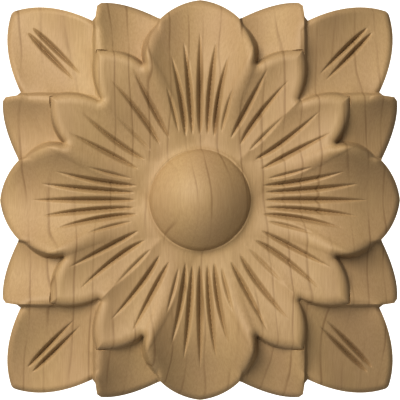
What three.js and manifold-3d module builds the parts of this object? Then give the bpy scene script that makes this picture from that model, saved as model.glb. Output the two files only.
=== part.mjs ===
// Carved wooden rosette, about 4 in square, cut from one block.
// Sizes in mm. The carving is worked out lying on its back: x across, y up, z out of the back.
// It is then stood upright: back on the plane y = 0, front towards -Y, +Z up.
import * as THREE from 'three';
import * as BufferGeometryUtils from 'three/addons/utils/BufferGeometryUtils.js';
import Module from 'manifold-3d';

// Block
const WIDTH = 101.6;
const DEPTH = 22.2;
const FACET_TOLERANCE = 0.02;
const SAME_POINT = 1e-4;

// The carving is free-form, so its places and its gouge radii are shares of the half width,
// and its heights above the back are shares of the depth.
const HALF_WIDTH = WIDTH / 2;

function inPlan(shares) {
  return shares.map((share) => share * HALF_WIDTH);
}

// Stations of a hollow: distance from the centre, height of its bottom, radius across it
function bedOf(stations) {
  return stations.map(([distance, height, radius]) => [
    distance * HALF_WIDTH, height * DEPTH, radius * HALF_WIDTH,
  ]);
}

// Round boss in the middle
const BOSS_RADIUS = 0.255 * HALF_WIDTH;
const BOSS_RIM_HEIGHT = 0.667 * DEPTH;
const BOSS_SIDES = 36;
const BOSS_RINGS = 6;
const BOSS_COVE = 0.8;
const BOSS_COVE_REACH = 1;

// Four broad petals on the main axes, each a blunt arch of two arcs that reaches the block's side
const BROAD_ARC_RADIUS = 0.32 * HALF_WIDTH;
const BROAD_ARC_OFFSET = 0.0355 * HALF_WIDTH;
const BROAD_TIP_SPANS = 5;
const BROAD_SIDE_SPANS = 4;
const BROAD_BED = bedOf([
  [0, 0.604, 0.276], [0.354, 0.608, 0.276], [0.551, 0.649, 0.276], [0.65, 0.64, 0.276],
  [0.75, 0.581, 0.266], [0.85, 0.482, 0.256], [1.043, 0.288, 0.246],
]);

// Eight pointed petals, two between each pair of broad ones
const POINTED_ANGLE = 33.5;
const POINTED_TIP = inPlan([0.518, 0.752]);
const POINTED_OUTER_BOW = inPlan([0.378, 0.758]);
const POINTED_INNER_BOW = inPlan([0.557, 0.64]);
const DIAGONAL_NOTCH = inPlan([0.502, 0.502]);
const POINTED_OUTER_SPANS = 6;
const POINTED_INNER_SPANS = 7;
const POINTED_BED = bedOf([
  [0.157, 0.613, 0.276], [0.295, 0.635, 0.276], [0.5, 0.68, 0.276], [0.6, 0.73, 0.276],
  [0.7, 0.775, 0.276], [0.984, 0.829, 0.276],
]);

// Side lobes behind the flower, one each side of every broad petal
const LOBE_START_ANGLE = 43.3;
const LOBE_BOW = inPlan([0.375, 0.995]);
const LOBE_END = inPlan([0.492, 0.981]);
const LOBE_CORNER = inPlan([0.512, 0.967]);
const LOBE_FOOT = inPlan([0.52, 0.909]);
const LOBE_SHARE_BY_BROAD_SIDE = 0.6;
const LOBE_CORNER_SPANS = 2;
const LOBE_BED_OFFSET = 0.305 * HALF_WIDTH;
const LOBE_BED = bedOf([
  [0.394, 0.698, 0.787], [0.65, 0.68, 0.591], [0.75, 0.626, 0.335], [0.85, 0.518, 0.236],
  [0.941, 0.423, 0.246], [1.063, 0.306, 0.276],
]);

// Corner leaves on the diagonals
const LEAF_ANGLE = 45;
const LEAF_NOTCH = inPlan([0.535, 0.892]);
const LEAF_BOW = inPlan([0.76, 1]);
const LEAF_END = inPlan([0.929, 0.947]);
const LEAF_TIP = inPlan([0.94, 0.94]);
const LEAF_DIP = 2.2;
const LEAF_DIP_REACH = 2;
const LEAF_TIP_SPANS = 2;
const LEAF_BED = bedOf([
  [0.669, 0.757, 0.374], [0.85, 0.613, 0.374], [0.982, 0.5, 0.413], [1.094, 0.41, 0.374],
  [1.299, 0.239, 0.374], [1.417, 0.144, 0.374],
]);

// Rounded lip of the petals, set in from the flower's outline, and the wall that leans out below it
const LIP_RADIUS = 2.8;
const LIP_INSET = 0.4;
const WALL_LEAN = 0.25;
const WALL_FOOT = 0.2;
const WALL_MOST_SHARE = 0.5;
const LIP_STATIONS = [1, 0.55, 0.2, 0];
const LEAST_CROSSING = 0.5;

// Softened edge round the whole rosette, and soft crests between the hollows
const EDGE_RADIUS = 1.6;
const EDGE_LEAN = 1;
const EDGE_MOST_SHARE = 0.25;
const CREST_EASE = 1.6;

// Rings of the surface: on the flower outside the boss, and from its wall to the rosette's edge
const BOSS_FOOT_STATIONS = inPlan([-0.02, 0.012, 0.043]);
const PETAL_RINGS = 6;
const FOLIAGE_RINGS = 3;

// Veins cut with a small V tool: points of the centre line as shares of the half width,
// and the size of the cut where it is fullest, as a share of the full width and depth
const VEIN_WIDTH = 1.8;
const VEIN_DEPTH = 1.6;
const VEIN_SPANS = 4;
const VEIN_LIFT = 0.6;
const VEIN_FULLNESS = 0.8;
const VEIN_LEAN = 1.3;
const VEIN_STEP = 0.01;
const BROAD_VEINS = [
  { path: [[0, 0.837], [0, 0.571], [0, 0.325]], size: 1 },
  { path: [[0.081, 0.787], [0.054, 0.571], [0.037, 0.325]], size: 0.97 },
  { path: [[0.142, 0.717], [0.094, 0.512], [0.071, 0.315]], size: 0.92 },
];
const POINTED_VEINS = [
  { path: [[0.335, 0.65], [0.242, 0.472], [0.154, 0.307]], size: 1 },
  { path: [[0.441, 0.594], [0.295, 0.423], [0.201, 0.276]], size: 1 },
];
const LEAF_VEINS = [
  { path: [[0.579, 0.618], [0.715, 0.754], [0.864, 0.888]], size: 1.05 },
];

const wasm = await Module();
wasm.setup();

function mix(a, b, share) {
  return a + (b - a) * share;
}

// Point at a share of the way along a bowed edge with one control point
function bowPoint(start, bow, end, share) {
  const first = [mix(start[0], bow[0], share), mix(start[1], bow[1], share)];
  const second = [mix(bow[0], end[0], share), mix(bow[1], end[1], share)];
  return [mix(first[0], second[0], share), mix(first[1], second[1], share)];
}

// Height of a hollow at a distance from the centre and a distance across from its bottom
function hollowAt(bed, distance, across) {
  const next = bed.findIndex(([station]) => distance <= station);
  const i = next === -1 ? bed.length - 1 : Math.max(next, 1);
  const [d0, h0, r0] = bed[i - 1];
  const [d1, h1, r1] = bed[i];
  const share = (distance - d0) / (d1 - d0);
  return mix(h0 + across ** 2 / (2 * r0), h1 + across ** 2 / (2 * r1), share);
}

function turnPoint([x, y], degrees) {
  const angle = THREE.MathUtils.degToRad(degrees);
  const c = Math.cos(angle);
  const s = Math.sin(angle);
  return [x * c - y * s, x * s + y * c];
}

function toManifold(geometry) {
  const plain = geometry.clone();
  plain.deleteAttribute('normal');
  plain.deleteAttribute('uv');
  const merged = BufferGeometryUtils.mergeVertices(plain, SAME_POINT);
  const corners = merged.index.array;
  const kept = [];
  for (let i = 0; i < corners.length; i += 3) {
    const [a, b, c] = corners.slice(i, i + 3);
    if (a !== b && b !== c && c !== a) {
      kept.push(a, b, c);
    }
  }
  return new wasm.Manifold(new wasm.Mesh({
    numProp: 3,
    vertProperties: new Float32Array(merged.attributes.position.array),
    triVerts: new Uint32Array(kept),
  }));
}

function fromVertices(vertices, triangles) {
  const geometry = new THREE.BufferGeometry();
  geometry.setAttribute('position', new THREE.Float32BufferAttribute(vertices.flat(), 3));
  geometry.setIndex(triangles.flat());
  return toManifold(geometry);
}

// Closed sweep from a row of sections, each a ring of the same number of vertices
function sweep(sections) {
  const ring = sections[0].length;
  const triangles = [];
  for (let j = 1; j < ring - 1; j += 1) {
    triangles.push([0, j, j + 1]);
  }
  for (let i = 0; i < sections.length - 1; i += 1) {
    for (let j = 0; j < ring; j += 1) {
      const a = ring * i + j;
      const b = ring * i + ((j + 1) % ring);
      triangles.push([a, a + ring, b], [b, a + ring, b + ring]);
    }
  }
  const last = ring * (sections.length - 1);
  for (let j = 1; j < ring - 1; j += 1) {
    triangles.push([last, last + j + 1, last + j]);
  }
  return fromVertices(sections.flat(), triangles);
}

// Same cut on the four main axes, and mirrored for the hollows that lean to one side
function repeated(cut, mirrored) {
  const cuts = [];
  for (const side of mirrored ? [1, -1] : [1]) {
    const one = side === 1 ? cut : cut.mirror([1, 0, 0]);
    for (let quarter = 0; quarter < 4; quarter += 1) {
      cuts.push(one.rotate([0, 0, 90 * quarter]));
    }
  }
  return cuts;
}

// Half of a broad petal's arch, read by its angle above the widest place
const broadArcCentre = HALF_WIDTH - Math.sqrt(BROAD_ARC_RADIUS ** 2 - BROAD_ARC_OFFSET ** 2);
const broadTipAngle = Math.acos(BROAD_ARC_OFFSET / BROAD_ARC_RADIUS);
const lobeAngle = THREE.MathUtils.degToRad(LOBE_START_ANGLE);

function broadArcPoint(angle) {
  return [
    BROAD_ARC_RADIUS * Math.cos(angle) - BROAD_ARC_OFFSET,
    broadArcCentre + BROAD_ARC_RADIUS * Math.sin(angle),
  ];
}

// Edge of the flower paired with the edge of the rosette beyond it, from the top axis clockwise
// to the first diagonal. At the end of a broad petal the two edges are one.
function edgePairs() {
  const pairs = [];
  for (let i = 0; i <= BROAD_TIP_SPANS; i += 1) {
    const point = broadArcPoint(mix(broadTipAngle, lobeAngle, i / BROAD_TIP_SPANS));
    pairs.push([point, point]);
  }
  const lobePoint = (share) => bowPoint(broadArcPoint(lobeAngle), LOBE_BOW, LOBE_END, share);
  for (let i = 1; i <= BROAD_SIDE_SPANS; i += 1) {
    const share = i / BROAD_SIDE_SPANS;
    pairs.push([broadArcPoint(mix(lobeAngle, 0, share)), lobePoint(share * LOBE_SHARE_BY_BROAD_SIDE)]);
  }
  const lobeSpans = POINTED_OUTER_SPANS - LOBE_CORNER_SPANS;
  for (let i = 1; i <= POINTED_OUTER_SPANS; i += 1) {
    const flower = bowPoint(broadArcPoint(0), POINTED_OUTER_BOW, POINTED_TIP, i / POINTED_OUTER_SPANS);
    const lobe = lobePoint(mix(LOBE_SHARE_BY_BROAD_SIDE, 1, Math.min(i / lobeSpans, 1)));
    pairs.push([flower, [lobe, LOBE_CORNER, LOBE_FOOT][Math.max(i - lobeSpans, 0)]]);
  }
  const leafSpans = POINTED_INNER_SPANS - LEAF_TIP_SPANS;
  for (let i = 1; i <= POINTED_INNER_SPANS; i += 1) {
    const flower = bowPoint(POINTED_TIP, POINTED_INNER_BOW, DIAGONAL_NOTCH, i / POINTED_INNER_SPANS);
    const leaf = bowPoint(LEAF_NOTCH, LEAF_BOW, LEAF_END, (i - 1) / leafSpans);
    pairs.push([flower, i === POINTED_INNER_SPANS ? LEAF_TIP : leaf]);
  }
  return pairs;
}

// Height of a hollow that lies at an angle from the top axis, at a plan point
function hollowHeight(bed, point, angle, offset) {
  const [across, distance] = turnPoint(point, angle);
  return hollowAt(bed, distance, across - offset);
}

// Lower of two heights, with the crest between them eased
function lowerOf(a, b) {
  const share = THREE.MathUtils.clamp(0.5 + (b - a) / (2 * CREST_EASE), 0, 1);
  return mix(b, a, share) - (CREST_EASE * share * (1 - share)) / 2;
}

// Surfaces at plan points between the top axis and the first diagonal
function flowerSurface(point) {
  const petals = lowerOf(
    hollowHeight(BROAD_BED, point, 0, 0),
    hollowHeight(POINTED_BED, point, POINTED_ANGLE, 0),
  );
  const fromBoss = Math.max(Math.hypot(...point) - BOSS_RADIUS, 0);
  return petals + BOSS_COVE * Math.exp(-fromBoss / BOSS_COVE_REACH);
}

function lobeSurface(point) {
  return hollowHeight(LOBE_BED, point, 0, LOBE_BED_OFFSET);
}

// The leaf dips beside the lobe, more so towards the rosette's edge
function leafSurface(point) {
  const outer = (point[1] - POINTED_TIP[1]) / (LEAF_NOTCH[1] - POINTED_TIP[1]);
  const fromLobe = Math.max(point[0] - POINTED_TIP[0], 0);
  const dip = LEAF_DIP * THREE.MathUtils.clamp(outer, 0, 1) * Math.exp(-fromLobe / LEAF_DIP_REACH);
  return hollowHeight(LEAF_BED, point, LEAF_ANGLE, 0) - dip;
}

// How far a rounded edge is below the surface that it rounds, at a distance inside the edge
function roundOver(inward, radius, lean) {
  const wallTop = radius * (1 - 1 / Math.hypot(1, lean));
  const at = Math.max(Math.min(inward, radius), wallTop);
  const rounded = radius - Math.sqrt(radius ** 2 - (radius - at) ** 2);
  return rounded + Math.max(wallTop - inward, 0) / lean;
}

function distanceToEdge([x, y], edge) {
  const distances = edge.slice(1).map((end, i) => {
    const along = [end[0] - edge[i][0], end[1] - edge[i][1]];
    const from = [x - edge[i][0], y - edge[i][1]];
    const reach = (from[0] * along[0] + from[1] * along[1]) / (along[0] ** 2 + along[1] ** 2);
    const share = THREE.MathUtils.clamp(reach, 0, 1);
    return Math.hypot(from[0] - share * along[0], from[1] - share * along[1]);
  });
  return Math.min(...distances);
}

// Sine of the angle between two directions, held above the least crossing
function crossing([ax, ay], [bx, by]) {
  const sine = Math.abs(ax * by - ay * bx) / Math.max(Math.hypot(ax, ay) * Math.hypot(bx, by), SAME_POINT);
  return Math.max(sine, LEAST_CROSSING);
}

// One spoke of the surface: from under the boss out over the petal's lip, down its wall, over the
// lobe or leaf, and down the side of the block to the back
function spoke([flower, side], i, pairs) {
  const edge = pairs.map(([point]) => point);
  const radius = Math.hypot(...flower);
  const outward = [flower[0] / radius, flower[1] / radius];
  const before = edge[Math.max(i - 1, 0)];
  const after = edge[Math.min(i + 1, edge.length - 1)];
  const along = [after[0] - before[0], after[1] - before[1]];
  const span = [side[0] - flower[0], side[1] - flower[1]];
  const width = Math.hypot(...span);
  const overlap = Math.min(width / EDGE_RADIUS, 1);
  const lipRun = LIP_RADIUS / crossing(outward, along);
  const lipEdge = radius - (LIP_INSET * overlap) / crossing(outward, along);
  const wallRun = WALL_FOOT / crossing(span, along);

  const flowerVertex = (distance) => {
    const point = [outward[0] * distance, outward[1] * distance];
    const inward = distanceToEdge(point, edge);
    const lip = roundOver(inward - LIP_INSET, LIP_RADIUS, WALL_LEAN);
    const drop = mix(roundOver(inward, EDGE_RADIUS, EDGE_LEAN), lip, overlap);
    return [...point, flowerSurface(point) - drop];
  };
  const vertices = BOSS_FOOT_STATIONS.map((station) => flowerVertex(BOSS_RADIUS + station));
  const first = BOSS_RADIUS + BOSS_FOOT_STATIONS[BOSS_FOOT_STATIONS.length - 1];
  for (let ring = 1; ring < PETAL_RINGS; ring += 1) {
    vertices.push(flowerVertex(mix(first, lipEdge - lipRun, ring / PETAL_RINGS)));
  }
  LIP_STATIONS.forEach((share) => vertices.push(flowerVertex(lipEdge - share * lipRun)));

  const lobeSpokes = BROAD_TIP_SPANS + BROAD_SIDE_SPANS + POINTED_OUTER_SPANS;
  const foliageSurface = i <= lobeSpokes ? lobeSurface : leafSurface;
  const lip = vertices[vertices.length - 1];
  const foliageVertex = (share, drop) => {
    const point = [flower[0] + span[0] * share, flower[1] + span[1] * share];
    return width < SAME_POINT ? lip : [...point, foliageSurface(point) - drop];
  };
  const foot = Math.min(wallRun / width, WALL_MOST_SHARE);
  const rim = 1 - Math.min(EDGE_RADIUS / width, EDGE_MOST_SHARE);
  for (let ring = 0; ring <= FOLIAGE_RINGS; ring += 1) {
    vertices.push(foliageVertex(mix(foot, rim, ring / FOLIAGE_RINGS), 0));
  }
  vertices.push(foliageVertex(1, roundOver(0, EDGE_RADIUS, EDGE_LEAN)));
  vertices.push([...side, 0]);
  return vertices;
}

// Whole carved block from its spokes, closed at the centre in front and behind
function carvedBlock() {
  const pairs = edgePairs();
  const eighth = pairs.map(spoke);
  const across = eighth.slice(0, -1).reverse().map((vertices) => vertices.map(([x, y, z]) => [y, x, z]));
  const quarter = [...eighth, ...across].slice(0, -1);
  const spokes = [0, 1, 2, 3].flatMap((turn) => quarter.map((vertices) => vertices.map(([x, y, z]) => [
    ...turnPoint([x, y], -90 * turn), z,
  ])));
  const count = spokes[0].length;
  const vertices = spokes.flat();
  const front = vertices.length;
  const triangles = [];
  spokes.forEach((_, i) => {
    const a = i * count;
    const b = ((i + 1) % spokes.length) * count;
    triangles.push([front, b, a], [front + 1, a + count - 1, b + count - 1]);
    for (let k = 0; k < count - 1; k += 1) {
      triangles.push([a + k, b + k, b + k + 1], [a + k, b + k + 1, a + k + 1]);
    }
  });
  vertices.push([0, 0, BOSS_RIM_HEIGHT], [0, 0, 0]);
  return fromVertices(vertices, triangles);
}

// Round boss as a parabolic dome on the flower
function boss() {
  const rise = DEPTH - BOSS_RIM_HEIGHT;
  const profile = [new THREE.Vector2(0, 0), new THREE.Vector2(BOSS_RADIUS, 0)];
  for (let i = BOSS_RINGS; i > 0; i -= 1) {
    const share = i / BOSS_RINGS;
    profile.push(new THREE.Vector2(BOSS_RADIUS * share, DEPTH - rise * share ** 2));
  }
  profile.push(new THREE.Vector2(0, DEPTH));
  const geometry = new THREE.LatheGeometry(profile, BOSS_SIDES);
  geometry.rotateX(Math.PI / 2);
  return toManifold(geometry);
}

// V cut along a bowed line, deepest in the middle and running out at both ends
function veinCut({ path, size }, surfaceAt) {
  const depth = VEIN_DEPTH * size;
  const [start, middle, end] = path.map(inPlan);
  const bow = middle.map((value, axis) => 2 * value - (start[axis] + end[axis]) / 2);
  const half = ((VEIN_WIDTH * size) / 2) * (1 + VEIN_LIFT / depth);
  const sections = [];
  for (let i = 0; i <= VEIN_SPANS; i += 1) {
    const share = i / VEIN_SPANS;
    const point = bowPoint(start, bow, end, share);
    const ahead = bowPoint(start, bow, end, share + VEIN_STEP);
    const length = Math.hypot(ahead[0] - point[0], ahead[1] - point[1]);
    const side = [((ahead[1] - point[1]) / length) * half, (-(ahead[0] - point[0]) / length) * half];
    const fullness = Math.sin(Math.PI * share ** VEIN_LEAN) ** VEIN_FULLNESS;
    const bottom = surfaceAt(point) - depth * fullness;
    const top = bottom + depth + VEIN_LIFT;
    sections.push([
      [point[0], point[1], bottom],
      [point[0] + side[0], point[1] + side[1], top],
      [point[0] - side[0], point[1] - side[1], top],
    ]);
  }
  return sweep(sections);
}

const veins = [
  ...BROAD_VEINS.flatMap((vein) => repeated(veinCut(vein, flowerSurface), vein.path[0][0] > 0)),
  ...POINTED_VEINS.flatMap((vein) => repeated(veinCut(vein, flowerSurface), true)),
  ...LEAF_VEINS.flatMap((vein) => repeated(veinCut(vein, leafSurface), true)),
];

const carved = carvedBlock().add(boss()).subtract(wasm.Manifold.union(veins)).simplify(FACET_TOLERANCE);

const upright = carved.rotate([90, 0, 0]);
const mesh = upright.getMesh();
const carvedGeometry = new THREE.BufferGeometry();
carvedGeometry.setAttribute('position', new THREE.Float32BufferAttribute(mesh.vertProperties, 3));
carvedGeometry.setIndex(new THREE.Uint32BufferAttribute(mesh.triVerts, 1));
carvedGeometry.computeVertexNormals();

const wood = new THREE.MeshStandardMaterial({ color: 0xa6845b, roughness: 0.6, metalness: 0 });
const rosette = new THREE.Mesh(carvedGeometry, wood);
rosette.name = 'rosette';

const part = new THREE.Group();
part.add(rosette);

export default part;
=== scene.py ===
"""Carved maple rosette: fine relief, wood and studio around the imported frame.

The plan of the carving is worked out in millimetres: x across, z up, and the
height of the surface above the flat back. The front of the rosette faces -Y.
"""
import logging
import math
from dataclasses import dataclass, field
from enum import Enum

import bpy
import numpy as np
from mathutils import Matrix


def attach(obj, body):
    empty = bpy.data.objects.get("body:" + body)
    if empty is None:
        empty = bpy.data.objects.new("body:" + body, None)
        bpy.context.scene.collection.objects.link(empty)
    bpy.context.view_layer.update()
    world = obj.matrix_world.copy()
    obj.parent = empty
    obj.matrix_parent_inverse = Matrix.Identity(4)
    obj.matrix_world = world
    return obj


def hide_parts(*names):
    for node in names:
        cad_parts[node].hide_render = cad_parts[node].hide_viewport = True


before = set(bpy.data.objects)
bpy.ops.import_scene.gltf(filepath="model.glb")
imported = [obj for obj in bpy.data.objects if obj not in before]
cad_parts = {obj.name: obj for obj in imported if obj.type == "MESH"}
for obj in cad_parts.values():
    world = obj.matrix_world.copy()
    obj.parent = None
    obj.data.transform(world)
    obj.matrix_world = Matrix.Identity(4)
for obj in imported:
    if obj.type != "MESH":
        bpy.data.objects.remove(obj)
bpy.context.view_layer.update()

MM = 0.001
NODE = "rosette"
BODY = "root"
LOG = logging.getLogger("rosette")

Point = tuple[float, float]
Plan = tuple[np.ndarray, np.ndarray]
Colour = tuple[float, float, float, float]
Triple = tuple[float, float, float]

WHITE: Colour = (1, 1, 1, 1)
UPRIGHT: Triple = (math.pi / 2, 0, 0)

# Shape of the sRGB curve
SRGB_KNEE = 0.04045
SRGB_SLOPE = 12.92
SRGB_OFFSET = 0.055
SRGB_POWER = 2.4

# Spans of the curves in the carving
BOW_SPANS = 20
ARCH_SPANS = 40
SHORT_ARCH_SPANS = 24
VEIN_SPANS = 12

# Places further than this from an edge needn't know how far, and an outline closes this far out
EDGE_REACH = 12.0
BEYOND = 10.0

# A section runs on past a station by this share of a span
SECTION_OVERRUN = 0.5


class Stage(Enum):
    """Pale planes round the object that aren't part of it."""

    FLOOR = "floor"
    BACKDROP = "backdrop"


def linear(colour: str) -> Colour:
    """Turn an sRGB hex colour to linear.

    Args:
        colour: Six hex digits.

    Returns:
        Linear red, green, blue and an alpha of one.
    """
    parts = [int(colour[i:i + 2], 16) / 255 for i in (0, 2, 4)]
    red, green, blue = (
        part / SRGB_SLOPE if part <= SRGB_KNEE
        else ((part + SRGB_OFFSET) / (1 + SRGB_OFFSET)) ** SRGB_POWER
        for part in parts
    )
    return (red, green, blue, 1.0)


def bowed(start: Point, bow: Point, end: Point, spans: int = BOW_SPANS) -> np.ndarray:
    """Points of an edge bowed by one control point.

    Args:
        start: First point.
        bow: Control point.
        end: Last point.
        spans: Number of spans.

    Returns:
        Points as rows.
    """
    share = np.linspace(0, 1, spans + 1)[:, None]
    first, middle, last = (np.array(p) for p in (start, bow, end))
    return (1 - share) ** 2 * first + 2 * share * (1 - share) * middle + share**2 * last


def along_section(stations: list[Point], along: np.ndarray) -> np.ndarray:
    """Smooth height of a long section through its stations.

    Args:
        stations: Distance and height pairs.
        along: Distances to read it at.

    Returns:
        Heights at those distances.
    """
    distance, height = (np.array(values) for values in zip(*stations))
    slope = np.gradient(height, distance)
    i = np.clip(np.searchsorted(distance, along) - 1, 0, len(distance) - 2)
    span = distance[i + 1] - distance[i]
    u = np.clip((along - distance[i]) / span, -SECTION_OVERRUN, 1 + SECTION_OVERRUN)
    rise = height[i + 1] - height[i]
    first = slope[i] * span - rise
    second = -slope[i + 1] * span + rise
    return height[i] + rise * u + u * (1 - u) * ((1 - u) * first + u * second)


def lower_of(a: np.ndarray, b: np.ndarray, ease: float) -> np.ndarray:
    """Lower of two surfaces, with the ridge between them eased over a height."""
    share = np.clip(0.5 + 0.5 * (b - a) / ease, 0, 1)
    return b + (a - b) * share - ease * share * (1 - share) / 2


def higher_of(a: np.ndarray, b: np.ndarray, ease: float) -> np.ndarray:
    """Higher of two surfaces, with the valley between them eased over a height."""
    return -lower_of(-a, -b, ease)


def nearest(plan: Plan, line: np.ndarray, reach: float) -> tuple[np.ndarray, np.ndarray]:
    """Distance from plan points to a line, and where along it.

    Args:
        plan: Plan points.
        line: Points of the line as rows.
        reach: Distance given to the points that are further than this from the line.

    Returns:
        Distances, and shares of the line's length at the nearest place.
    """
    distance = np.full(plan[0].shape, reach)
    share = np.zeros(plan[0].shape)
    low, high = line.min(axis=0) - reach, line.max(axis=0) + reach
    near = np.nonzero(
        (plan[0] > low[0]) & (plan[0] < high[0]) & (plan[1] > low[1]) & (plan[1] < high[1])
    )
    x, z = plan[0][near], plan[1][near]
    best, where = distance[near], share[near]
    spans = len(line) - 1
    for i in range(spans):
        start, step = line[i], line[i + 1] - line[i]
        u = np.clip(((x - start[0]) * step[0] + (z - start[1]) * step[1]) / (step @ step), 0, 1)
        away = np.hypot(x - start[0] - u * step[0], z - start[1] - u * step[1])
        closer = away < best
        best = np.where(closer, away, best)
        where = np.where(closer, (i + u) / spans, where)
    distance[near] = best
    share[near] = where
    return distance, share


def within(plan: Plan, edge: np.ndarray) -> np.ndarray:
    """Whether plan points in the first eighth are on the centre's side of an edge.

    Args:
        plan: Plan points.
        edge: Points of the edge as rows, from the top axis to the diagonal.

    Returns:
        True where a point is inside.
    """
    top, corner = edge[0], edge[-1]
    around = [(corner[0] + BEYOND, corner[1] - BEYOND), (-BEYOND, -BEYOND), (-BEYOND, top[1])]
    ring = np.vstack([edge, around])
    inside = np.zeros(plan[0].shape, dtype=bool)
    for i in range(len(ring)):
        a, b = ring[i - 1], ring[i]
        if a[1] == b[1]:
            continue
        straddles = (a[1] > plan[1]) != (b[1] > plan[1])
        crossing = a[0] + (b[0] - a[0]) * (plan[1] - a[1]) / (b[1] - a[1])
        inside ^= straddles & (plan[0] < crossing)
    return inside


def inside_by(plan: Plan, edge: np.ndarray) -> np.ndarray:
    """Distance of plan points inside an edge, negative outside it."""
    away, _ = nearest(plan, edge, EDGE_REACH)
    return np.where(within(plan, edge), away, -away)


def round_over(inward: np.ndarray, radius: float, lean: float) -> np.ndarray:
    """Drop of a rounded edge that runs on into a leaning wall.

    Args:
        inward: Distance inside the edge, negative outside it.
        radius: Radius of the rounding.
        lean: Outward lean of the wall for each millimetre down.

    Returns:
        How far the surface is below the unrounded one.
    """
    start = radius * (1 - 1 / math.hypot(1, lean))
    rounded = radius - np.sqrt(np.maximum(radius**2 - (radius - inward) ** 2, 0))
    at_start = radius - math.sqrt(radius**2 - (radius - start) ** 2)
    wall = at_start + (start - inward) / lean
    return np.where(inward >= radius, 0, np.where(inward > start, rounded, wall))


@dataclass(frozen=True)
class Hollow:
    """One hollow: stations of distance, height and radius across, along a line."""

    stations: tuple[Triple, ...]
    angle: float = 0.0
    offset: float = 0.0

    def surface(self, plan: Plan) -> np.ndarray:
        """Height of the hollow over plan points in the first eighth."""
        turn = math.radians(self.angle)
        across = plan[0] * math.cos(turn) - plan[1] * math.sin(turn) - self.offset
        along = plan[0] * math.sin(turn) + plan[1] * math.cos(turn)
        bed = along_section([(d, height) for d, height, _ in self.stations], along)
        curve = along_section([(d, 0.5 / radius) for d, _, radius in self.stations], along)
        return bed + across**2 * curve


@dataclass(frozen=True)
class Vein:
    """V cut along a bowed line that comes up to the surface at both ends.

    The tool goes in slowly and comes out quickly, so the cut is fullest past
    its middle, and its sides are hollow rather than straight.
    """

    start: Point
    middle: Point
    end: Point
    width: float
    depth: float
    lean: float = 1.3
    fullness: float = 0.8
    sharpness: float = 1.4
    least_width: float = 1e-6

    def line(self) -> np.ndarray:
        """Centre line through the three named points."""
        bow = tuple(2 * m - (s + e) / 2 for s, m, e in zip(self.start, self.middle, self.end))
        return bowed(self.start, bow, self.end, VEIN_SPANS)

    def cut(self, plan: Plan) -> np.ndarray:
        """Depth that the cut takes off at plan points."""
        distance, share = nearest(plan, self.line(), self.width)
        full = np.sin(math.pi * share**self.lean) ** self.fullness
        half = self.width / 2 * np.sqrt(full) + self.least_width
        return self.depth * full * np.maximum(1 - distance / half, 0) ** self.sharpness


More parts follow.
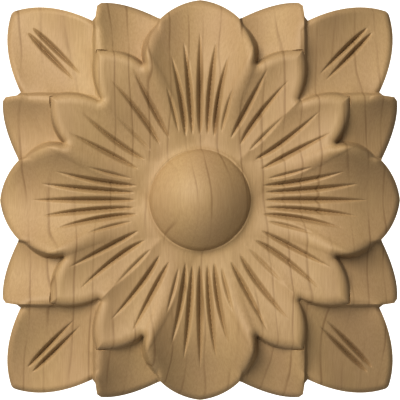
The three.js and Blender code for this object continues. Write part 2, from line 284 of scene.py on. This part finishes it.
@dataclass(frozen=True)
class Carving:
    """Pattern of the rosette in its first eighth, from the top axis to the diagonal."""

    # Outline of the flower
    broad_tip: float = 50.8
    broad_radius: float = 16.25
    broad_offset: float = 1.8
    pointed_tip: Point = (26.3, 38.2)
    pointed_outer_bow: Point = (19.2, 38.5)
    pointed_inner_bow: Point = (28.3, 32.5)
    diagonal_notch: Point = (25.5, 25.5)

    # Outline of the side lobe and the corner leaf behind it
    lobe_start_angle: float = 43.3
    lobe_bow: Point = (19.05, 50.55)
    lobe_end: Point = (25.0, 49.85)
    lobe_corner: Point = (26.0, 49.1)
    lobe_foot: Point = (26.4, 46.2)
    leaf_notch: Point = (27.2, 45.3)
    leaf_bow: Point = (38.6, 50.8)
    leaf_end: Point = (47.2, 48.1)
    leaf_tip: Point = (47.75, 47.75)

    # Boss
    boss_radius: float = 12.95
    boss_rim: float = 14.8
    boss_top: float = 22.2
    boss_round: float = 1.3
    boss_lean: float = 0.45
    boss_cove: float = 0.8

    # Lip of the petals, the wall below it and the cove at the wall's foot
    lip_radius: float = 2.8
    lip_inset: float = 0.4
    wall_lean: float = 0.25
    wall_cove: float = 0.3
    cove_reach: float = 1.0

    # Edges of the block and of the lobes, and the dip of the leaf beside the lobe
    edge_radius: float = 1.6
    edge_lean: float = 1.0
    lobe_lip: float = 2.4
    lobe_lean: float = 1.0
    lobe_fall: float = 1.5
    leaf_dip: float = 2.2
    leaf_dip_reach: float = 2.0

    # Fall of a surface past its own ground, and the softness where two surfaces meet
    sink: float = 8.0
    ridge_ease: float = 2.4
    valley_ease: float = 0.9

    broad: Hollow = Hollow((
        (0, 13.4, 14), (18, 13.5, 14), (28, 14.4, 14), (33, 14.2, 14), (38.1, 12.9, 13.5),
        (43.2, 10.7, 13), (53, 6.4, 12.5),
    ))
    pointed: Hollow = Hollow((
        (8, 13.6, 14), (15, 14.1, 14), (25.4, 15.1, 14), (30.5, 16.2, 14), (35.6, 17.2, 14),
        (50, 18.4, 14),
    ), 33.5)
    lobe: Hollow = Hollow((
        (20, 15.5, 40), (33, 15.1, 30), (38.1, 13.9, 17), (43.2, 11.5, 12), (47.8, 9.4, 12.5),
        (54, 6.8, 14),
    ), 0, 15.5)
    leaf: Hollow = Hollow((
        (34, 16.8, 19), (43.2, 13.6, 19), (49.9, 11.1, 21), (55.6, 9.1, 19), (66, 5.3, 19),
        (72, 3.2, 19),
    ), 45)
    veins: tuple[Vein, ...] = (
        Vein((0, 42.5), (0, 29), (0, 16.5), 2.1, 1.55),
        Vein((4.1, 40), (2.75, 29), (1.9, 16.5), 2.0, 1.55),
        Vein((7.2, 36.4), (4.8, 26), (3.6, 16), 1.9, 1.5),
        Vein((8.4, 28.4), (6.9, 23.5), (5.4, 17.2), 1.5, 0.75),
        Vein((17, 33), (12.3, 24), (7.8, 15.6), 1.9, 1.35),
        Vein((22.4, 30.2), (15, 21.5), (10.2, 14), 1.9, 1.35),
        Vein((21.8, 21.8), (16.9, 16.9), (12.4, 12.4), 1.7, 0.8),
        Vein((30.2, 31.7), (36.6, 38.1), (42.5, 43.7), 1.8, 1.6),
    )

    def broad_arc(self, end_angle: float, spans: int) -> np.ndarray:
        """Arch of a broad petal from its point round to an angle."""
        start = math.acos(self.broad_offset / self.broad_radius)
        rise = math.sqrt(self.broad_radius**2 - self.broad_offset**2)
        angle = np.linspace(start, end_angle, spans + 1)
        return np.stack([
            self.broad_radius * np.cos(angle) - self.broad_offset,
            self.broad_tip - rise + self.broad_radius * np.sin(angle),
        ], axis=1)

    def arc_to_lobe(self) -> np.ndarray:
        """Arch of a broad petal down to where the side lobe starts."""
        return self.broad_arc(math.radians(self.lobe_start_angle), SHORT_ARCH_SPANS)

    def flower_edge(self) -> np.ndarray:
        """Edge of the flower from the top axis to the diagonal."""
        arch = self.broad_arc(0.0, ARCH_SPANS)
        outer = bowed(tuple(arch[-1]), self.pointed_outer_bow, self.pointed_tip)
        inner = bowed(self.pointed_tip, self.pointed_inner_bow, self.diagonal_notch)
        return np.vstack([arch, outer[1:], inner[1:]])

    def block_edge(self) -> np.ndarray:
        """Edge of the whole rosette from the top axis to the diagonal."""
        arch = self.arc_to_lobe()
        lobe = bowed(tuple(arch[-1]), self.lobe_bow, self.lobe_end)
        leaf = bowed(self.leaf_notch, self.leaf_bow, self.leaf_end)
        return np.vstack([arch, lobe[1:], [self.lobe_corner, self.lobe_foot], leaf, [self.leaf_tip]])

    def block_ring(self) -> np.ndarray:
        """Closed outline of the rosette, run clockwise as seen from the front."""
        eighth = self.block_edge()
        quarter = np.vstack([eighth, eighth[::-1, ::-1][1:]])
        turns = []
        for i in range(4):
            c, s = round(math.cos(i * math.pi / 2)), round(math.sin(i * math.pi / 2))
            turns.append((quarter @ np.array([[c, -s], [s, c]]))[:-1])
        return np.vstack(turns)

    def flower(self, plan: Plan, inward: np.ndarray, inside_block: np.ndarray) -> np.ndarray:
        """Height of the petals, with their lip where something lies beyond it.

        Args:
            plan: Plan points.
            inward: Distance of each inside the flower's edge.
            inside_block: Distance of each inside the rosette's edge.

        Returns:
            Heights in millimetres.
        """
        petals = lower_of(self.broad.surface(plan), self.pointed.surface(plan), self.ridge_ease)
        overlap = np.clip((inside_block - inward) / self.edge_radius, 0, 1)
        return petals - round_over(inward - self.lip_inset, self.lip_radius, self.wall_lean) * overlap

    def lobes(self, plan: Plan, inside_block: np.ndarray) -> np.ndarray:
        """Height of the side lobes, with their edge above the corner leaves."""
        in_lobe = self.pointed_tip[0] - plan[0]
        overlap = np.clip((inside_block - in_lobe) / self.lobe_lip, 0, 1)
        lobe = self.lobe.surface((np.minimum(plan[0], self.pointed_tip[0]), plan[1]))
        lobe = lobe - round_over(in_lobe, self.lobe_lip, self.lobe_lean) * overlap
        lobe = lobe - np.maximum(-in_lobe, 0) * self.lobe_fall
        lobe_start = self.arc_to_lobe()[-1][0]
        return lobe - np.maximum(lobe_start - plan[0], 0) * self.sink

    def leaves(self, plan: Plan) -> np.ndarray:
        """Height of the corner leaves, with their dip beside the lobes."""
        tip, notch = self.pointed_tip, self.leaf_notch
        beside_lobe = plan[1] > tip[1] - self.lip_radius
        inner_start = self.diagonal_notch[0] - self.lip_radius / 2
        start = np.where(beside_lobe, tip[0] - self.edge_radius / 4, inner_start)
        start = np.where(plan[1] > self.lobe_foot[1], notch[0], start)
        leaf = self.leaf.surface(plan) - np.maximum(start - plan[0], 0) * self.sink
        outer = np.clip((plan[1] - tip[1]) / (notch[1] - tip[1]), 0, 1)
        beside = np.exp(np.minimum(tip[0] - plan[0], 0) / self.leaf_dip_reach)
        return leaf - self.leaf_dip * outer * beside

    def boss(self, out: np.ndarray) -> np.ndarray:
        """Height of the domed boss at distances from the centre."""
        dome = self.boss_top - (self.boss_top - self.boss_rim) * (out / self.boss_radius) ** 2
        return dome - round_over(self.boss_radius - out, self.boss_round, self.boss_lean)

    def relief(self, x: np.ndarray, z: np.ndarray) -> np.ndarray:
        """Height of the carved front above the back.

        Args:
            x: Places across, in millimetres.
            z: Places up, in millimetres.

        Returns:
            Heights in millimetres.
        """
        plan = (np.minimum(abs(x), abs(z)), np.maximum(abs(x), abs(z)))
        inward = inside_by(plan, self.flower_edge())
        inside_block = inside_by(plan, self.block_edge())

        inset = inward - self.lip_inset
        foliage = higher_of(self.lobes(plan, inside_block), self.leaves(plan), self.valley_ease / 2)
        foliage = foliage + self.wall_cove * np.exp(np.minimum(inset, 0) / self.cove_reach)
        foliage = foliage - np.maximum(inset, 0) * self.sink
        height = higher_of(foliage, self.flower(plan, inward, inside_block), self.valley_ease)

        out = np.hypot(x, z)
        cove = self.boss_cove * np.exp(-np.maximum(out - self.boss_radius, 0) / self.cove_reach)
        height = higher_of(height + cove, self.boss(out), self.valley_ease / 2)
        for vein in self.veins:
            height = height - vein.cut(plan)
        return height - round_over(inside_block, self.edge_radius, self.edge_lean)


def add_node(
    tree: bpy.types.NodeTree, kind: str, settings: dict | None = None, links: dict | None = None
) -> bpy.types.Node:
    """Add one node, set its properties and inputs, and link its inputs.

    Args:
        tree: Node tree of the material.
        kind: Type of the node.
        settings: Properties by name, and values of inputs by name or number.
        links: Output sockets by the name or number of the input that they feed.

    Returns:
        The node.
    """
    node = tree.nodes.new(kind)
    for key, value in (settings or {}).items():
        if isinstance(key, str) and hasattr(node, key):
            setattr(node, key, value)
        else:
            node.inputs[key].default_value = value
    for key, source in (links or {}).items():
        tree.links.new(source, node.inputs[key])
    return node


@dataclass(frozen=True)
class Grain:
    """One cloudy pattern in the wood: millimetres across, deep and up the grain.

    The cloud's values from low to high are spread from least to one.
    """

    size: Triple
    detail: float
    roughness: float = 0.5
    low: float = 0.0
    high: float = 1.0
    least: float = 0.0

    def build(self, tree: bpy.types.NodeTree, in_mm: bpy.types.NodeSocket) -> bpy.types.NodeSocket:
        """Add the pattern to a material.

        Args:
            tree: Node tree of the material.
            in_mm: Place on the object, in millimetres.

        Returns:
            Strength of the pattern.
        """
        stretch = tuple(1 / length for length in self.size)
        place = add_node(tree, "ShaderNodeMapping", {"Scale": stretch}, {"Vector": in_mm}).outputs[0]
        cloud = add_node(
            tree, "ShaderNodeTexNoise",
            {"Scale": 1.0, "Detail": self.detail, "Roughness": self.roughness}, {"Vector": place},
        ).outputs["Fac"]
        spread = {1: self.low, 2: self.high, 3: self.least, 4: 1.0}
        return add_node(tree, "ShaderNodeMapRange", spread, {0: cloud}).outputs[0]


@dataclass(frozen=True)
class MapleFinish:
    """Maple, sanded and left unfinished.

    Sanding leaves the fibres dull and matt. Each year's growth ends in a thin
    dark line, which wanders sideways as the carving goes deeper into the wood,
    and short fine streaks of fibre run up the grain.
    """

    name: str = "sanded_maple"
    light: str = "AA936F"
    deep: str = "8D744F"
    rosy: str = "A58D6D"
    line: str = "755A39"
    roughness: float = 0.62
    ior: float = 1.5

    # Growth rings: width of a year, shift for each millimetre of depth and reach of the wander,
    # in mm. A year darkens from late_wood on and is darkest just before the next one.
    ring_spacing: float = 5.0
    ring_tilt: float = 0.3
    ring_wander: float = 14.0
    late_wood: float = 0.84
    darkest: float = 0.94
    early_tint: float = 0.06
    line_share: float = 0.5
    wander: Grain = Grain((22.2, 22.2, 83.3), 2.0, 0.45)
    fading: Grain = Grain((11.1, 11.1, 20.0), 1.0, 0.5, 0.42, 0.6, 0.15)

    # Fibres: real ones are finer than the render can show, so these are drawn coarser
    fibre_share: float = 0.3
    fibre_relief: float = 0.05
    fibre_strength: float = 0.1
    fibres: Grain = Grain((0.35, 0.35, 6.0), 3.0, 0.6, 0.35, 0.68)

    # Broad change of tone between years and along the board
    tone: Grain = Grain((9.1, 9.1, 50.0), 3.0, 0.5, 0.3, 0.7)

    def ring_lines(self, tree: bpy.types.NodeTree, in_mm: bpy.types.NodeSocket) -> bpy.types.NodeSocket:
        """Dark lines at the ends of the years.

        Args:
            tree: Node tree of the material.
            in_mm: Place on the object, in millimetres.

        Returns:
            Darkness of the lines, from zero to one.
        """
        axes = add_node(tree, "ShaderNodeSeparateXYZ", links={0: in_mm}).outputs
        sideways = add_node(
            tree, "ShaderNodeMath", {"operation": "MULTIPLY_ADD", 1: self.ring_tilt},
            {0: axes["Y"], 2: axes["X"]},
        ).outputs[0]
        rings = add_node(
            tree, "ShaderNodeMath", {"operation": "MULTIPLY_ADD", 1: self.ring_wander},
            {0: self.wander.build(tree, in_mm), 2: sideways},
        ).outputs[0]
        count = add_node(
            tree, "ShaderNodeMath", {"operation": "DIVIDE", 1: self.ring_spacing}, {0: rings}
        ).outputs[0]
        year = add_node(tree, "ShaderNodeMath", {"operation": "FRACT"}, {0: count}).outputs[0]
        early, late, end = (
            add_node(tree, "ShaderNodeMapRange", {"clamp": False, **spread}, {0: year}).outputs[0]
            for spread in (
                {1: 0.0, 2: self.late_wood, 3: 0.0, 4: self.early_tint},
                {1: self.late_wood, 2: self.darkest, 3: self.early_tint, 4: 1.0},
                {1: self.darkest, 2: 1.0, 3: 1.0, 4: 0.0},
            )
        )
        darkening = add_node(
            tree, "ShaderNodeMath", {"operation": "MAXIMUM"}, {0: early, 1: late}
        ).outputs[0]
        line = add_node(
            tree, "ShaderNodeMath", {"operation": "MINIMUM"}, {0: darkening, 1: end}
        ).outputs[0]
        fading = self.fading.build(tree, in_mm)
        return add_node(
            tree, "ShaderNodeMath", {"operation": "MULTIPLY"}, {0: line, 1: fading}
        ).outputs[0]

    def build(self) -> bpy.types.Material:
        """Make the material.

        Returns:
            The material, with all its patterns on Object coordinates.
        """
        material = bpy.data.materials.new(self.name)
        material.use_nodes = True
        tree = material.node_tree
        tree.nodes.clear()
        place = add_node(tree, "ShaderNodeTexCoord").outputs["Object"]
        in_mm = add_node(
            tree, "ShaderNodeVectorMath", {"operation": "SCALE", "Scale": 1 / MM}, {0: place}
        ).outputs[0]

        fibres = self.fibres.build(tree, in_mm)
        colour = add_node(
            tree, "ShaderNodeMix",
            {"data_type": "RGBA", 6: linear(self.light), 7: linear(self.rosy)},
            {0: self.tone.build(tree, in_mm)},
        ).outputs[2]
        for tint, most, pattern in (
            (self.deep, self.fibre_share, fibres),
            (self.line, self.line_share, self.ring_lines(tree, in_mm)),
        ):
            share = add_node(
                tree, "ShaderNodeMath", {"operation": "MULTIPLY", 1: most}, {0: pattern}
            ).outputs[0]
            colour = add_node(
                tree, "ShaderNodeMix", {"data_type": "RGBA", 7: linear(tint)}, {0: share, 6: colour}
            ).outputs[2]

        bump = add_node(
            tree, "ShaderNodeBump",
            {"Strength": self.fibre_strength, "Distance": self.fibre_relief * MM}, {"Height": fibres},
        ).outputs[0]
        shader = add_node(
            tree, "ShaderNodeBsdfPrincipled", {"Roughness": self.roughness, "IOR": self.ior},
            {"Base Color": colour, "Normal": bump},
        )
        add_node(tree, "ShaderNodeOutputMaterial", links={"Surface": shader.outputs[0]})
        return material


@dataclass
class CarvedRosette:
    """The rosette as one carved piece of maple. Lengths are in millimetres."""

    carving: Carving = field(default_factory=Carving)
    finish: MapleFinish = field(default_factory=MapleFinish)
    name: str = "carved_rosette"
    grid_spans: int = 900
    margin: float = 1.2
    least_height: float = 1.0
    block_depth: float = 30.0
    closing_depth: float = 4.0
    triangles: int = 170000
    weld: float = 0.002
    crease: float = 40.0

    def sheet(self) -> bpy.types.Object:
        """Model the carved front as a fine sheet, closed behind the back.

        Returns:
            A closed block with the carving on its front.
        """
        size = (2 * self.carving.broad_tip + 2 * self.margin) * MM
        spans = self.grid_spans
        bpy.ops.mesh.primitive_grid_add(
            x_subdivisions=spans, y_subdivisions=spans, size=size, location=(0, 0, 0), rotation=UPRIGHT,
        )
        sheet = bpy.context.object
        bpy.ops.object.transform_apply(location=True, rotation=True, scale=True)
        places = np.empty(len(sheet.data.vertices) * 3)
        sheet.data.vertices.foreach_get("co", places)
        places = places.reshape(-1, 3)
        height = self.carving.relief(places[:, 0] / MM, places[:, 2] / MM)
        places[:, 1] = -np.maximum(height, self.least_height) * MM

        # The grid's last two rows on each side go behind the back, the outer one to its centre
        rows = places.reshape(spans + 1, spans + 1, 3)
        for row in (0, 1, -2, -1):
            rows[row, :, 1] = self.closing_depth * MM
            rows[:, row, 1] = self.closing_depth * MM
        for row in (0, -1):
            rows[row, :] = (0, self.closing_depth * MM, 0)
            rows[:, row] = (0, self.closing_depth * MM, 0)
        sheet.data.vertices.foreach_set("co", rows.ravel())
        sheet.data.update()
        self.join_near(sheet)
        thin = sheet.modifiers.new("thin", "DECIMATE")
        thin.ratio = self.triangles / (2 * spans**2)
        bpy.ops.object.modifier_apply(modifier=thin.name)
        return sheet

    def join_near(self, piece: bpy.types.Object) -> None:
        """Join the points of the active piece that are closer than the weld."""
        weld = piece.modifiers.new("weld", "WELD")
        weld.merge_threshold = self.weld * MM
        bpy.ops.object.modifier_apply(modifier=weld.name)

    def block(self) -> bpy.types.Object:
        """Model the sawn block by its outline, square to the back.

        Returns:
            The block as a closed solid.
        """
        ring = self.carving.block_ring()
        bpy.ops.mesh.primitive_cylinder_add(
            vertices=len(ring), radius=self.carving.broad_tip * MM, depth=self.block_depth * MM,
            end_fill_type="NGON", location=(0, 0, 0), rotation=UPRIGHT,
        )
        block = bpy.context.object
        bpy.ops.object.transform_apply(location=True, rotation=True, scale=True)

        # The cylinder's points come in pairs, one behind and one in front
        depths = (0, -self.block_depth * MM)
        for i, vertex in enumerate(block.data.vertices):
            x, z = ring[i // 2]
            vertex.co = (x * MM, depths[i % 2], z * MM)
        bpy.ops.object.mode_set(mode="EDIT")
        bpy.ops.mesh.select_all(action="SELECT")
        bpy.ops.mesh.normals_make_consistent(inside=False)
        bpy.ops.object.mode_set(mode="OBJECT")
        return block

    def model(self) -> bpy.types.Object:
        """Carve the block by the sheet and finish the mesh.

        Returns:
            The rosette's mesh object.
        """
        bpy.ops.object.select_all(action="DESELECT")
        sheet = self.sheet()
        bpy.ops.object.select_all(action="DESELECT")
        rosette = self.block()
        rosette.name = self.name
        carve = rosette.modifiers.new("carve", "BOOLEAN")
        carve.operation = "INTERSECT"
        carve.solver = "MANIFOLD"
        carve.object = sheet
        bpy.ops.object.modifier_apply(modifier=carve.name)
        bpy.data.objects.remove(sheet, do_unlink=True)
        self.join_near(rosette)
        bpy.ops.object.mode_set(mode="EDIT")
        bpy.ops.mesh.select_all(action="SELECT")
        bpy.ops.mesh.normals_make_consistent(inside=False)
        bpy.ops.object.mode_set(mode="OBJECT")
        bpy.ops.object.shade_smooth_by_angle(angle=math.radians(self.crease))
        return rosette

    def build(self) -> bpy.types.Object:
        """Model the rosette, give it its wood, and hang it on the frame.

        Returns:
            The finished piece.
        """
        rosette = self.model()
        rosette.data.materials.clear()
        rosette.data.materials.append(self.finish.build())
        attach(rosette, BODY)
        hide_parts(NODE)
        return rosette


def aimed(direction: Triple) -> Triple:
    """Turn that points a light along a direction.

    Args:
        direction: Where the light shines.

    Returns:
        Angles about x, y and z.
    """
    x, y, z = direction
    return (math.atan2(math.hypot(x, y), -z), 0.0, math.atan2(-x, y))


@dataclass
class Studio:
    """Pale room, soft light from the upper left and the camera. Lengths are in metres."""

    width: float = 0.1016
    camera_distance: float = 1.0
    fit_depth: float = 0.007
    sensor: float = 36.0
    clip_end: float = 20.0
    key_direction: Triple = (-0.41, -0.815, 0.41)
    key_distance: float = 1.2
    key_size: float = 0.8
    key_power: float = 21.0
    fill: float = 0.45
    contrast: float = 1.5
    wall_distance: float = 1.2
    wall_glow: float = 0.6
    floor_drop: float = 0.8
    room: float = 1.2
    pale: str = "F4F3F1"
    paint_roughness: float = 0.9

    def camera(self) -> None:
        """Set the camera straight in front, with the rosette filling its frame at the fit depth."""
        data = bpy.data.cameras.new("camera")
        data.sensor_width = self.sensor
        data.lens = self.sensor * (self.camera_distance - self.fit_depth) / self.width
        data.clip_end = self.clip_end
        camera = bpy.data.objects.new("camera", data)
        camera.location = (0, -self.camera_distance, 0)
        camera.rotation_euler = UPRIGHT
        bpy.context.collection.objects.link(camera)
        bpy.context.scene.camera = camera

    def light(self) -> None:
        """Hang the soft key light and fill the room."""
        direction = np.array(self.key_direction) / np.linalg.norm(self.key_direction)
        data = bpy.data.lights.new("key", "AREA")
        data.shape = "DISK"
        data.size = self.key_size
        data.energy = self.key_power
        key = bpy.data.objects.new("key", data)
        key.location = tuple(direction * self.key_distance)
        key.rotation_euler = aimed(tuple(-direction))
        bpy.context.collection.objects.link(key)
        world = bpy.data.worlds.new("room")
        world.use_nodes = True
        background = world.node_tree.nodes["Background"]
        background.inputs["Color"].default_value = WHITE
        background.inputs["Strength"].default_value = self.fill
        bpy.context.scene.world = world

    def plane(self, stage: Stage, place: Triple, turn: Triple, glow: float) -> None:
        """Add one large pale plane that isn't part of the object.

        Args:
            stage: Which plane it is.
            place: Its centre.
            turn: Its angles about x, y and z.
            glow: How strongly it shines by itself.
        """
        bpy.ops.object.select_all(action="DESELECT")
        bpy.ops.mesh.primitive_plane_add(size=self.room)
        plane = bpy.context.object
        plane.name = stage.value
        plane.location = place
        plane.rotation_euler = turn
        material = bpy.data.materials.new(f"{stage.value}_paint")
        material.use_nodes = True
        shader = material.node_tree.nodes["Principled BSDF"]
        shader.inputs["Base Color"].default_value = linear(self.pale)
        shader.inputs["Roughness"].default_value = self.paint_roughness
        shader.inputs["Emission Color"].default_value = WHITE
        shader.inputs["Emission Strength"].default_value = glow
        plane.data.materials.append(material)

    def build(self) -> None:
        """Set up camera, light, floor and backdrop."""
        self.camera()
        self.light()
        self.plane(Stage.FLOOR, (0, 0, -self.floor_drop), (0, 0, 0), 0.0)
        self.plane(Stage.BACKDROP, (0, self.wall_distance, 0), UPRIGHT, self.wall_glow)
        view = bpy.context.scene.view_settings
        view.view_transform = "Standard"
        view.gamma = 1 / self.contrast


def main() -> None:
    """Build the studio and the rosette in order."""
    logging.basicConfig(level=logging.INFO)
    Studio().build()
    LOG.info("studio set")
    rosette = CarvedRosette().build()
    LOG.info("%s: %d faces", rosette.name, len(rosette.data.polygons))


if __name__ == "__main__":
    main()
